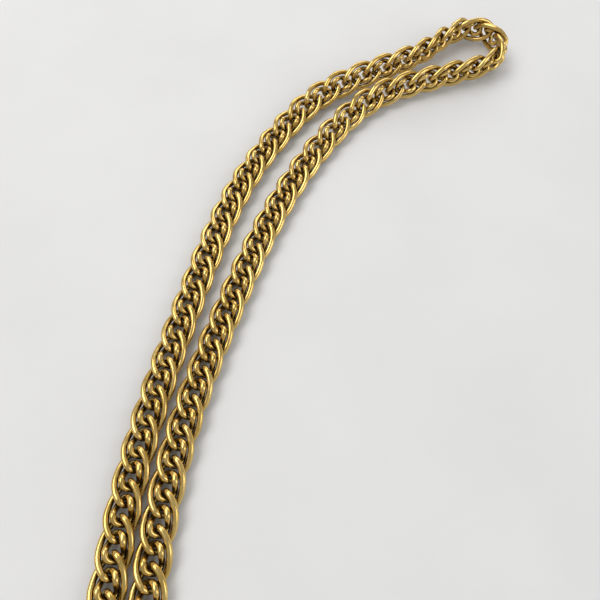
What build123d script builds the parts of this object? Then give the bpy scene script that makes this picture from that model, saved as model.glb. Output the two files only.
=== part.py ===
from build123d import *
from math import asin, cos, degrees, pi, radians, sin
import os

# Eyeglass chain strap: a double curb chain laid out folded in half, with a temple loop at each end.
# Millimetres, +Z up, the chain lies on Z = 0. Travel along the chain runs from the left end,
# round the fold, to the right end.

os.makedirs("parts", exist_ok=True)

# ---- Chain: one outer and one inner link, concentric, at every pitch ----
PITCH = 6.0
WIRE = 1.16
HALF_UNITS = 50  # link pairs on each side of the pair in the middle of the fold
FOLD_UNITS = 10  # link pairs on each side that stay with the fold
RUN_LENGTHS = (6, 6, 6, 6, 6, 5, 5)  # link pairs in each run, from the fold to the end

# Corners of a quarter of each link's wire line: tip corner, then shoulder corner, as (x, y, z)
OUTER_TIP = (5.07, 0.48, 0.91)
OUTER_SHOULDER = (2.49, 2.75, 0.86)
OUTER_RADII = (1.22, 5.5)
INNER_TIP = (2.29, 0.97, 0.74)
INNER_SHOULDER = (0.81, 1.46, 0.94)
INNER_RADII = (1.14, 0.91)

HALF_WIDTH = OUTER_SHOULDER[1] + WIRE / 2
HALF_THICKNESS = OUTER_TIP[2] + WIRE / 2

# ---- Layout of the chain's centre line on the table ----
FOLD_CENTRE = (44.2, 148.7)
FOLD_ANGLE = 36.0  # direction in which the fold points, from +X
FOLD_TURN = 48.0  # turn at each pitch round the fold
FOLD_RADIUS = PITCH / radians(FOLD_TURN)
LEFT_END = (-46.8, -104.07)
LEFT_ROUTE = (
    (-44.8, -88.0),
    (-39.3, -50.0),
    (-35.4, -10.0),
    (-34.5, 19.0),
    (-32.3, 42.2),
    (-24.9, 75.6),
    (-14.4, 107.3),
    (-7.2, 119.8),
    (4.2, 132.8),
    (12.7, 137.8),
    (21.7, 141.9),
    (30.7, 146.7),
)
RIGHT_END = (-5.4, -110.48)
RIGHT_ROUTE = (
    (39.7, 139.4),
    (32.7, 137.2),
    (25.7, 135.0),
    (17.2, 131.0),
    (5.6, 119.6),
    (-2.5, 107.3),
    (-15.9, 75.6),
    (-25.2, 42.2),
    (-27.4, 19.0),
    (-25.4, -10.0),
    (-17.8, -50.0),
    (-8.8, -91.0),
)

# The chain stands on edge round the fold and lies down again over the next few pairs
EDGE_UNITS = 1.0  # pairs each side that stand on edge
LYING_UNITS = 14.0  # pairs each side of the middle where the chain has lain down
FOLD_SHIFT = 1.09  # outer links sit this far inside the bend for each radian of bend per pair
FOLD_SKEW = 8.0  # and turn this many degrees in their own plane for each radian
FOLD_LIFT = 0.1  # room under the skewed links
ROUNDNESS = 1.5  # power that gives the height of the rounded section as it rolls

# ---- End fittings, measured outwards from the centre of the last link pair ----
RING_RADIUS = 2.3
RING_WIRE = 1.0
RING_CENTRE = (6.0, 1.49)  # outwards, up
RING_ROLL = 25.0
RING_SPLIT = 0.12

EYE_CENTRE = (8.3, 1.68)  # outwards, up
EYE_RADIUS = 1.65
EYE_HOLE = 1.05
EYE_THICKNESS = 0.9
EYE_NECK = (2.65, 2.5)  # length and height of the web that joins the eye to the cap
CAP_START = 9.9
CAP_LENGTH = 6.5
CAP_RADIUS = 2.1
CAP_BORE = 1.65
CAP_FLOOR = 1.5
CAP_ROUND = 0.4
CAP_AXIS = CAP_RADIUS  # height of the cap's axis above the table

CORD = 1.5
CORD_SPACING = 1.7
CORD_START = CAP_START + CAP_FLOOR + 0.2  # just clear of the bore's floor
LOOP_NECK = 30.0
LOOP_SHOULDER = 36.5
LOOP_END = 46.0
LOOP_HALF_WIDTH = 5.5
LOOP_REST = CORD / 2 + 0.03  # height of the cord's axis where the loop lies on the table
LOOP_RADIUS = 5.0

SLIDER_START = 17.0
SLIDER_LENGTH = 4.0
SLIDER_WIDTH = 5.8
SLIDER_HEIGHT = 3.9
SLIDER_GAP = 0.09  # clearance round the cord
SLIDER_CORNER = 1.85
SLIDER_ROUND = 0.8


def save(piece, name):
    piece.part.label = name
    export_step(piece.part, f"parts/{name}.step")


# ---- The route ----
axis_x = cos(radians(FOLD_ANGLE))
axis_y = sin(radians(FOLD_ANGLE))
fold_in = (FOLD_CENTRE[0] - FOLD_RADIUS * axis_y, FOLD_CENTRE[1] + FOLD_RADIUS * axis_x)
fold_tip = (FOLD_CENTRE[0] + FOLD_RADIUS * axis_x, FOLD_CENTRE[1] + FOLD_RADIUS * axis_y)
fold_out = (FOLD_CENTRE[0] + FOLD_RADIUS * axis_y, FOLD_CENTRE[1] - FOLD_RADIUS * axis_x)

with BuildLine() as left_line:
    Spline(
        LEFT_END,
        *LEFT_ROUTE,
        fold_in,
        tangents=((0, 1), (axis_x, axis_y)),
        tangent_scalars=(1, 1),
    )
with BuildLine() as fold_line:
    ThreePointArc(fold_in, fold_tip, fold_out)
with BuildLine() as right_line:
    Spline(
        fold_out,
        *RIGHT_ROUTE,
        RIGHT_END,
        tangents=((-axis_x, -axis_y), (0, -1)),
        tangent_scalars=(1, 1),
    )

left_edge = left_line.edges()[0]
fold_edge = fold_line.edges()[0]
right_edge = right_line.edges()[0]


def on_route(distance):
    """Centre line point and direction at a distance along the chain from the middle of the fold."""
    half_fold = fold_edge.length / 2
    if distance < -half_fold:
        edge, along = left_edge, left_edge.length + distance + half_fold
    elif distance > half_fold:
        edge, along = right_edge, distance - half_fold
    else:
        edge, along = fold_edge, distance + half_fold
    point = edge.position_at(along, position_mode=PositionMode.LENGTH)
    direction = edge.tangent_at(along, position_mode=PositionMode.LENGTH)
    return point, direction


def roll_at(distance):
    """Turn of the chain about its own line: 0 lying flat, 90 on edge round the fold, 180 flat again.

    The links are handed, so the chain twists the same way all along.
    """
    share = (abs(distance) / PITCH - EDGE_UNITS) / (LYING_UNITS - EDGE_UNITS)
    share = min(max(share, 0.0), 1.0)
    upright = 90.0 * (1 + cos(pi * share)) / 2
    return upright if distance < 0 else 180.0 - upright


def bend_between(start, end):
    """Turn of the route between two distances, in radians, positive towards the inside of the fold."""
    before = on_route(start)[1]
    after = on_route(end)[1]
    return -asin(before.cross(after).Z)


def frame_at(distance):
    """Plane at a point of the chain: X along the chain, Z out of the chain's flat face."""
    point, direction = on_route(distance)
    roll = radians(roll_at(distance))
    on_edge = (HALF_WIDTH * sin(roll)) ** ROUNDNESS
    lying = (HALF_THICKNESS * abs(cos(roll))) ** ROUNDNESS
    height = (on_edge + lying) ** (1 / ROUNDNESS) + FOLD_LIFT * sin(roll)
    side = Vector(direction.Y, -direction.X, 0)
    normal = side * sin(roll) + Vector(0, 0, cos(roll))
    return Plane(origin=(point.X, point.Y, height), x_dir=direction, z_dir=normal)


def outer_frame(distance):
    """Frame of an outer link. Where the chain bends on edge, its tips follow the inner links beside it."""
    upright = sin(radians(roll_at(distance)))
    behind = bend_between(distance - PITCH, distance) * upright
    ahead = bend_between(distance, distance + PITCH) * upright
    shift = FOLD_SHIFT * (ahead + behind) / 2
    tilt = degrees(FOLD_SHIFT * (ahead - behind) / 2 / OUTER_TIP[0])
    skew = FOLD_SKEW * (ahead + behind) / 2
    return Plane(frame_at(distance).location * Location((0, 0, shift), (0, -tilt, skew)))


# ---- Links ----
def link(plane, tip, shoulder, radii):
    """One closed link: a twisted oval of round wire, the same when turned half a turn about its Z."""
    corners = (
        (tip[0], 0, 0),
        (tip[0], tip[1], -tip[2]),
        (shoulder[0], shoulder[1], -shoulder[2]),
        (-shoulder[0], shoulder[1], shoulder[2]),
        (-tip[0], tip[1], tip[2]),
        (-tip[0], 0, 0),
    )
    with BuildPart(mode=Mode.PRIVATE) as loop:
        with BuildLine() as line:
            FilletPolyline(*corners, radius=(radii[0], radii[1], radii[1], radii[0]))
        wire_line = line.wires()[0]
        with BuildSketch(Plane(origin=wire_line @ 0, z_dir=wire_line % 0)):
            Circle(WIRE / 2)
        sweep(path=wire_line)
        half = loop.part
        add(half.rotate(Axis.Z, 180))
    return plane.location * loop.part


def chain_run(name, first, last):
    """Write the outer links of a run as one node and its inner links as another."""
    units = range(first, last + 1)
    outer = [link(outer_frame(i * PITCH), OUTER_TIP, OUTER_SHOULDER, OUTER_RADII) for i in units]
    inner = [link(frame_at(i * PITCH), INNER_TIP, INNER_SHOULDER, INNER_RADII) for i in units]
    with BuildPart() as outer_links:
        add(outer)
    save(outer_links, f"{name}_outer_links")
    with BuildPart() as inner_links:
        add(inner)
    save(inner_links, f"{name}_inner_links")


chain_run("fold", -FOLD_UNITS, FOLD_UNITS)
near = FOLD_UNITS
for number, length in enumerate(RUN_LENGTHS, start=1):
    chain_run(f"left_run_{number}", -near - length, -near - 1)
    chain_run(f"right_run_{number}", near + 1, near + length)
    near += length


# ---- End fittings ----
def fitting_plane(end, height):
    """Plane at the centre of an end link pair: X outwards along the chain, Z up."""
    point, direction = on_route(end * HALF_UNITS * PITCH)
    return Plane(origin=(point.X, point.Y, height), x_dir=direction * end, z_dir=(0, 0, 1))


def end_ring(name, end):
    """Split ring of round wire, rolled over so that it lies low and still links with the chain."""
    base = fitting_plane(end, RING_CENTRE[1])
    centre = base.location * Location((RING_CENTRE[0], 0, 0), (RING_ROLL, 0, 0))
    with BuildPart() as ring:
        with BuildSketch(Plane(centre * Location((0, 0, 0), (90, 0, 0)))):
            with Locations((RING_RADIUS, 0)):
                Circle(RING_WIRE / 2)
        revolve(axis=Axis(centre.position, Plane(centre).z_dir))
        with Locations(centre * Location((0, RING_RADIUS, 0))):
            Box(RING_SPLIT, 2 * RING_WIRE, 2 * RING_WIRE, mode=Mode.SUBTRACT)
    save(ring, name)


def end_cap(name, end):
    """Turned cap that grips both ends of the cord, with a flat eye for the ring."""
    with BuildPart() as cap:
        base = fitting_plane(end, CAP_AXIS)
        with BuildSketch(Plane(base.location * Location((CAP_START, 0, 0), (0, 90, 0)))):
            Circle(CAP_RADIUS)
        extrude(amount=CAP_LENGTH)
        fillet(cap.edges().filter_by(GeomType.CIRCLE), CAP_ROUND)
        bore_start = CAP_START + CAP_FLOOR
        with BuildSketch(Plane(base.location * Location((bore_start, 0, 0), (0, 90, 0)))):
            Circle(CAP_BORE)
        extrude(amount=CAP_LENGTH, mode=Mode.SUBTRACT)
        eye_plane = fitting_plane(end, EYE_CENTRE[1])
        centre = eye_plane.location * Location((EYE_CENTRE[0], 0, 0), (90, 0, 0))
        with BuildSketch(Plane(centre)):
            Circle(EYE_RADIUS)
            with Locations((EYE_RADIUS / 2, 0)):
                Rectangle(*EYE_NECK)
        extrude(amount=EYE_THICKNESS / 2, both=True)
        with BuildSketch(Plane(centre)):
            Circle(EYE_HOLE)
        extrude(amount=EYE_THICKNESS, both=True, mode=Mode.SUBTRACT)
    save(cap, name)


def temple_loop(name, end):
    """Elastic cord loop that grips a spectacle temple. Both legs start inside the cap."""
    base = fitting_plane(end, 0)
    leg = CORD_SPACING / 2
    corners = (
        (CORD_START, leg, CAP_AXIS),
        (LOOP_NECK, leg, CAP_AXIS),
        (LOOP_SHOULDER, LOOP_HALF_WIDTH, LOOP_REST),
        (LOOP_END, LOOP_HALF_WIDTH, LOOP_REST),
        (LOOP_END, -LOOP_HALF_WIDTH, LOOP_REST),
        (LOOP_SHOULDER, -LOOP_HALF_WIDTH, LOOP_REST),
        (LOOP_NECK, -leg, CAP_AXIS),
        (CORD_START, -leg, CAP_AXIS),
    )
    with BuildPart() as loop:
        with BuildLine(base) as line:
            FilletPolyline(*corners, radius=LOOP_RADIUS)
        wire_line = line.wires()[0]
        with BuildSketch(Plane(origin=wire_line @ 0, z_dir=wire_line % 0)):
            Circle(CORD / 2)
        sweep(path=wire_line)
    save(loop, name)


def slider(name, end):
    """Bead with one long hole that holds the two legs of the loop together."""
    base = fitting_plane(end, CAP_AXIS)
    start = Plane(base.location * Location((SLIDER_START, 0, 0), (0, 90, 0)))
    hole = CORD + 2 * SLIDER_GAP
    with BuildPart() as bead:
        with BuildSketch(start):
            RectangleRounded(SLIDER_HEIGHT, SLIDER_WIDTH, SLIDER_CORNER)
        extrude(amount=SLIDER_LENGTH)
        ends = bead.faces().sort_by(Axis.Y)
        fillet(ends[0].edges() + ends[-1].edges(), SLIDER_ROUND)
        with BuildSketch(start):
            SlotOverall(CORD_SPACING + hole, hole, rotation=90)
        extrude(amount=SLIDER_LENGTH, mode=Mode.SUBTRACT)
    save(bead, name)


for side, end in (("left", -1), ("right", 1)):
    end_ring(f"{side}_end_ring", end)
    end_cap(f"{side}_end_cap", end)
    temple_loop(f"{side}_temple_loop", end)
    slider(f"{side}_slider", end)
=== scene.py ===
import bpy
import math
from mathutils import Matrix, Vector

# An eyeglasses chain strap on a pale table. Metres, in the frame of the CAD model.

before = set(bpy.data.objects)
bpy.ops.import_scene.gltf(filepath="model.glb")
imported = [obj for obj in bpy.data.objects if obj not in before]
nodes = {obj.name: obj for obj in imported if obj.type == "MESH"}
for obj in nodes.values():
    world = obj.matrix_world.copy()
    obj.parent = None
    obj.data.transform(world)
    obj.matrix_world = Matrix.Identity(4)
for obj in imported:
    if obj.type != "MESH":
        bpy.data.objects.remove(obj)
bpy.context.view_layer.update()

# Patterns are in features per metre. STOPS are the noise values where a tone starts and stops changing.

# ---- Camera ----
CAMERA = (-0.0018, 0.025, 0.1067)
CAMERA_DOWN = 64.64  # degrees below level
CAMERA_LENS = 33.0  # millimetres, as the sensor's width is
SENSOR = 36.0
CLIP_NEAR = 0.005
CLIP_FAR = 20.0

# ---- Floor ----
FLOOR_SIZE = 6.0
FLOOR_DROP = 0.0004  # how far it lies below the origin
FLOOR_DARK = (0.78, 0.78, 0.775)
FLOOR_PALE = (0.81, 0.81, 0.805)
FLOOR_PATCHES = 30.0
FLOOR_STOPS = (0.35, 0.65)
FLOOR_ROUGHNESS = 0.9

# ---- Surroundings ----
WORLD_COLOUR = (0.96, 0.98, 1.0, 1.0)
WORLD_STRENGTH = 0.44
STRAND_MIDDLE = (0, 0.05, 0)
NEAR_FOLD = (0, 0.1, 0)

# ---- Any material ----
PLAIN_DETAIL = 4.0

# ---- Gold plate ----
TONE_PATCHES = 220.0
TONE_STOPS = (0.38, 0.62)
CREVICE_REACH = 0.0016
CREVICE_RAYS = 8
CREVICE_STOPS = (0.25, 0.8)  # how open to the room the surface is
RUB_MARKS = 2600.0
RUB_DETAIL = 6.0
RUB_STRETCH = (1.0, 0.35, 1.0)
RUB_STOPS = (0.35, 0.7)
DENTS = 900.0
DENT_DETAIL = 3.0
DENT_STRENGTH = 0.10
DENT_DEPTH = 0.00004

# ---- Silicone ----
BLOOM_PATCHES = 160.0
BLOOM_DETAIL = 5.0
BLOOM_STOPS = (0.4, 0.68)
SHEEN_PATCHES = 700.0
SHEEN_STOPS = (0.3, 0.7)
PEBBLES = 2400.0
PEBBLE_DETAIL = 2.0
PEBBLE_STRENGTH = 0.15
PEBBLE_DEPTH = 0.00003

# ---- Sockets of a Mix node that mixes colours ----
MIX_SHARE = 0
MIX_FIRST = 6
MIX_SECOND = 7
MIX_RESULT = 2


def new_material(name):
    """A node material, with its node tree, its shader and its texture coordinates."""
    material = bpy.data.materials.new(name)
    material.use_nodes = True
    tree = material.node_tree
    shader = tree.nodes["Principled BSDF"]
    coords = tree.nodes.new("ShaderNodeTexCoord")
    return material, tree, shader, coords


def noise(tree, coords, scale, detail=PLAIN_DETAIL, stretch=None):
    """Noise in object space, in features per metre, with an optional stretch."""
    texture = tree.nodes.new("ShaderNodeTexNoise")
    texture.inputs["Scale"].default_value = scale
    texture.inputs["Detail"].default_value = detail
    if stretch is None:
        tree.links.new(coords.outputs["Object"], texture.inputs["Vector"])
    else:
        mapping = tree.nodes.new("ShaderNodeMapping")
        mapping.inputs["Scale"].default_value = stretch
        tree.links.new(coords.outputs["Object"], mapping.inputs["Vector"])
        tree.links.new(mapping.outputs["Vector"], texture.inputs["Vector"])
    return texture.outputs["Fac"]


def ramp(tree, value, stops, tones):
    """A ramp with a grey or a colour at each of its two stops."""
    node = tree.nodes.new("ShaderNodeValToRGB")
    for element, stop, tone in zip(node.color_ramp.elements, stops, tones):
        element.position = stop
        element.color = (*tone, 1.0) if isinstance(tone, tuple) else (tone, tone, tone, 1.0)
    tree.links.new(value, node.inputs["Fac"])
    return node.outputs["Color"]


def mix(tree, share, first, second):
    """Mixes a colour socket with a plain colour, whose share comes from another socket."""
    node = tree.nodes.new("ShaderNodeMix")
    node.data_type = "RGBA"
    tree.links.new(share, node.inputs[MIX_SHARE])
    tree.links.new(first, node.inputs[MIX_FIRST])
    node.inputs[MIX_SECOND].default_value = (*second, 1.0)
    return node.outputs[MIX_RESULT]


def bump(tree, shader, height, strength, distance):
    """Lets a height socket roughen the shader's surface."""
    node = tree.nodes.new("ShaderNodeBump")
    node.inputs["Strength"].default_value = strength
    node.inputs["Distance"].default_value = distance
    tree.links.new(height, node.inputs["Height"])
    tree.links.new(node.outputs["Normal"], shader.inputs["Normal"])


def gold(name, bright, deep, crevice_shade, roughness):
    """Polished gold plate: uneven tone, fine rub marks, and painted shade in dull brown where wires sit
    close together.
    """
    material, tree, shader, coords = new_material(name)
    tone = ramp(tree, noise(tree, coords, TONE_PATCHES), TONE_STOPS, (deep, bright))
    # Painted shade: where ambient occlusion finds wires close together, the base colour is mixed towards
    # a dull brown.
    crevice = tree.nodes.new("ShaderNodeAmbientOcclusion")
    crevice.inputs["Distance"].default_value = CREVICE_REACH
    crevice.samples = CREVICE_RAYS
    painted_shade_share = ramp(tree, crevice.outputs["AO"], CREVICE_STOPS, (1.0, 0.0))
    tree.links.new(mix(tree, painted_shade_share, tone, crevice_shade), shader.inputs["Base Color"])
    marks = noise(tree, coords, RUB_MARKS, RUB_DETAIL, RUB_STRETCH)
    tree.links.new(ramp(tree, marks, RUB_STOPS, roughness), shader.inputs["Roughness"])
    shader.inputs["Metallic"].default_value = 1.0
    bump(tree, shader, noise(tree, coords, DENTS, DENT_DETAIL), DENT_STRENGTH, DENT_DEPTH)
    return material


def silicone(name, dark, worn, roughness):
    """Matt black silicone with a faint bloom and a slightly pebbled skin."""
    material, tree, shader, coords = new_material(name)
    bloom = ramp(tree, noise(tree, coords, BLOOM_PATCHES, BLOOM_DETAIL), BLOOM_STOPS, (dark, worn))
    tree.links.new(bloom, shader.inputs["Base Color"])
    sheen = ramp(tree, noise(tree, coords, SHEEN_PATCHES), SHEEN_STOPS, roughness)
    tree.links.new(sheen, shader.inputs["Roughness"])
    bump(tree, shader, noise(tree, coords, PEBBLES, PEBBLE_DETAIL), PEBBLE_STRENGTH, PEBBLE_DEPTH)
    return material


# In both golds, the dark brown colour is painted shade, laid where wires sit close together.
link_gold = gold(
    "link_gold",
    bright=(0.80, 0.56, 0.19),
    deep=(0.68, 0.455, 0.13),
    crevice_shade=(0.15, 0.10, 0.025),
    roughness=(0.17, 0.30),
)
fitting_gold = gold(
    "fitting_gold",
    bright=(0.84, 0.59, 0.18),
    deep=(0.75, 0.51, 0.13),
    crevice_shade=(0.18, 0.12, 0.04),
    roughness=(0.18, 0.30),
)
cord_black = silicone(
    "cord_black",
    dark=(0.012, 0.011, 0.010),
    worn=(0.030, 0.028, 0.026),
    roughness=(0.38, 0.55),
)
slider_black = silicone(
    "slider_black",
    dark=(0.010, 0.009, 0.009),
    worn=(0.025, 0.023, 0.022),
    roughness=(0.30, 0.48),
)


def finish_for(name):
    """The material of a CAD node, told by how its name ends. Rings and caps are fittings."""
    if name.endswith("_links"):
        return link_gold
    if name.endswith("_temple_loop"):
        return cord_black
    if name.endswith("_slider"):
        return slider_black
    return fitting_gold


for name, obj in nodes.items():
    for slot in obj.material_slots:
        slot.material = finish_for(name)


def floor():
    """A plain pale table top, just below the lowest links."""
    bpy.ops.mesh.primitive_plane_add(size=FLOOR_SIZE, location=(0, 0, -FLOOR_DROP))
    plane = bpy.context.object
    plane.name = "table_top"
    material, tree, shader, coords = new_material("pale_floor")
    patches = noise(tree, coords, FLOOR_PATCHES)
    tone = ramp(tree, patches, FLOOR_STOPS, (FLOOR_DARK, FLOOR_PALE))
    tree.links.new(tone, shader.inputs["Base Color"])
    shader.inputs["Roughness"].default_value = FLOOR_ROUGHNESS
    plane.data.materials.append(material)


def area_light(name, place, target, size, power, colour=(1.0, 1.0, 1.0)):
    """A rectangular light of a power in watts, turned towards its target."""
    light = bpy.data.lights.new(name, "AREA")
    light.shape = "RECTANGLE"
    light.size, light.size_y = size
    light.energy = power
    light.color = colour
    obj = bpy.data.objects.new(name, light)
    bpy.context.collection.objects.link(obj)
    obj.location = place
    direction = Vector(place) - Vector(target)
    obj.rotation_euler = direction.to_track_quat("Z", "Y").to_euler()


def studio():
    """An even, slightly cool glow from all round, with plain colours and no film curve."""
    world = bpy.data.worlds.new("studio")
    world.use_nodes = True
    background = world.node_tree.nodes["Background"]
    background.inputs["Color"].default_value = WORLD_COLOUR
    background.inputs["Strength"].default_value = WORLD_STRENGTH
    bpy.context.scene.world = world
    bpy.context.scene.view_settings.view_transform = "Standard"


def main_camera():
    """The camera above the strands, tilted down along them."""
    camera = bpy.data.cameras.new("camera")
    camera.lens = CAMERA_LENS
    camera.sensor_width = SENSOR
    camera.clip_start = CLIP_NEAR
    camera.clip_end = CLIP_FAR
    eye = bpy.data.objects.new("camera", camera)
    bpy.context.collection.objects.link(eye)
    eye.location = CAMERA
    eye.rotation_euler = (math.radians(90.0 - CAMERA_DOWN), 0, 0)
    bpy.context.scene.camera = eye


floor()
area_light(
    "key",
    place=(-0.40, 0.30, 0.70),
    target=STRAND_MIDDLE,
    size=(0.70, 0.45),
    power=3.6,
    colour=(1.0, 0.97, 0.94),
)
area_light("fill", place=(0.70, -0.15, 0.45), target=STRAND_MIDDLE, size=(0.40, 0.60), power=1.5)
area_light("back", place=(0.15, 0.90, 0.40), target=NEAR_FOLD, size=(0.80, 0.30), power=1.7)
studio()
main_camera()
